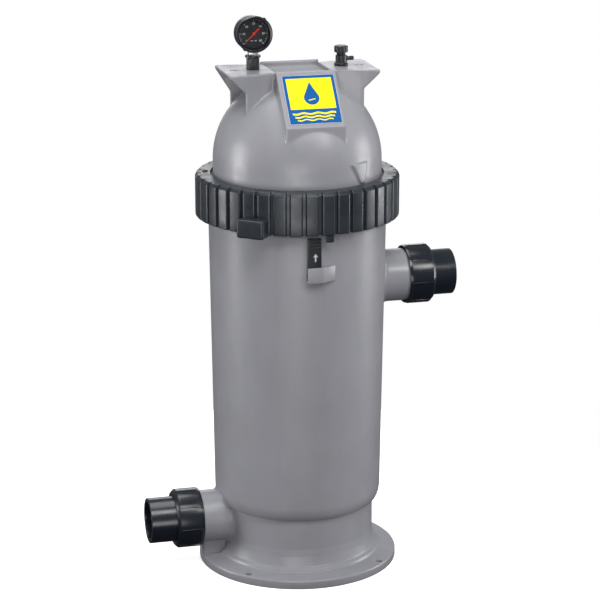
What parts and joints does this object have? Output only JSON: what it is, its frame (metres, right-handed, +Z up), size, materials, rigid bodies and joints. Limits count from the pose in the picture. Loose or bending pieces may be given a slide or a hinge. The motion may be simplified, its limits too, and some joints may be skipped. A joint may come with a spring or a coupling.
{
  "type": "cartridge filter",
  "caption": "Upright moulded cartridge filter with domed lid, threaded lock ring, side pipe unions, dial pressure gauge and air relief valve.",
  "frame": {"origin": "centre of the base flange's underside, which is the centre of the base bolt circle", "axes": "+Z up along the tank's axis, +X towards the inlet union, -Y towards the front with the latch and the label"},
  "size_m": [0.503, 0.3208, 0.889],
  "materials": {
    "grey_moulding": "satin moulded plastic",
    "ring_moulding": "satin glass-filled plastic",
    "black_moulding": "satin moulded plastic",
    "black_gloss": "polished moulded plastic",
    "seal_rubber": "greased rubber",
    "white_plastic": "natural moulded plastic",
    "label_print": "printed vinyl",
    "plated_brass": "nickel-plated brass",
    "brass": "bare brass",
    "steel": "stainless pin",
    "clear_window": "clear polycarbonate",
    "dial_face": "printed dial",
    "needle_red": "enamel",
    "filter_fabric": "spun polyester felt",
    "end_cap_plastic": "cast polyurethane"
  },
  "bodies": {
    "tank": {"tank_shell": "grey_moulding", "latch_pin": "steel", "tank_o_ring": "seal_rubber", "outlet_elbow": "grey_moulding", "spigot_o_ring": "seal_rubber", "breather_tube": "white_plastic", "breather_strainer": "white_plastic", "inlet_tailpiece": "black_gloss", "inlet_union_o_ring": "seal_rubber", "outlet_tailpiece": "black_gloss", "outlet_union_o_ring": "seal_rubber", "drain_seal": "seal_rubber"},
    "latch": {"safety_latch": "black_moulding"},
    "inlet_nut": {"inlet_union_nut": "black_gloss"},
    "outlet_nut": {"outlet_union_nut": "black_gloss"},
    "drain": {"drain_cap": "black_gloss"},
    "lid": {"lid_shell": "grey_moulding", "label_plate": "label_print", "gauge_adaptor": "black_moulding", "gauge_stem": "plated_brass", "gauge_case": "black_gloss", "gauge_bezel": "black_gloss", "gauge_lens": "clear_window", "gauge_dial": "dial_face", "gauge_arbor": "brass", "bourdon_tube": "brass", "air_valve_body": "black_moulding", "air_valve_o_ring": "seal_rubber"},
    "ring": {"lock_ring": "ring_moulding"},
    "needle": {"gauge_needle": "needle_red"},
    "vent_knob": {"air_valve_knob": "black_moulding"},
    "cartridge": {"cartridge_media": "filter_fabric", "cartridge_core": "white_plastic", "cartridge_top_cap": "end_cap_plastic", "cartridge_bottom_cap": "end_cap_plastic", "cartridge_bands": "filter_fabric"}
  },
  "joints": [
    {"name": "lid_lift", "type": "slide", "parent": "tank", "child": "lid", "axis": [0, 0, 1], "range_m": [0, 0.45]},
    {"name": "ring_turn", "type": "hinge", "parent": "lid", "child": "ring", "pos_m": [0, 0, 0.607], "axis": [0, 0, 1], "range_deg": [0, 300]},
    {"name": "cartridge_lift", "type": "slide", "parent": "tank", "child": "cartridge", "axis": [0, 0, 1], "range_m": [0, 0.2]},
    {"name": "latch_press", "type": "hinge", "parent": "tank", "child": "latch", "pos_m": [-0.0105, -0.1433, 0.507], "axis": [-1, 0, 0], "range_deg": [0, 3], "stiffness_Nm_per_rad": 3},
    {"name": "inlet_nut_turn", "type": "hinge", "parent": "tank", "child": "inlet_nut", "pos_m": [0.2, 0, 0.461], "axis": [1, 0, 0], "continuous": true},
    {"name": "outlet_nut_turn", "type": "hinge", "parent": "tank", "child": "outlet_nut", "pos_m": [-0.19, 0, 0.078], "axis": [-1, 0, 0], "continuous": true},
    {"name": "drain_cap_turn", "type": "hinge", "parent": "tank", "child": "drain", "pos_m": [0, 0.135, 0.052], "axis": [0, 1, 0], "continuous": true},
    {"name": "gauge_reading", "type": "hinge", "parent": "lid", "child": "needle", "pos_m": [-0.0705, 0, 0.8605], "axis": [0, 1, 0], "range_deg": [0, 270]},
    {"name": "vent_turn", "type": "hinge", "parent": "lid", "child": "vent_knob", "pos_m": [0.0705, 0, 0.82], "axis": [0, 0, 1], "range_deg": [0, 360]}
  ],
  "couplings": [
    {"joint": "cartridge_lift", "follows": "lid_lift", "ratio": 0.44}
  ]
}
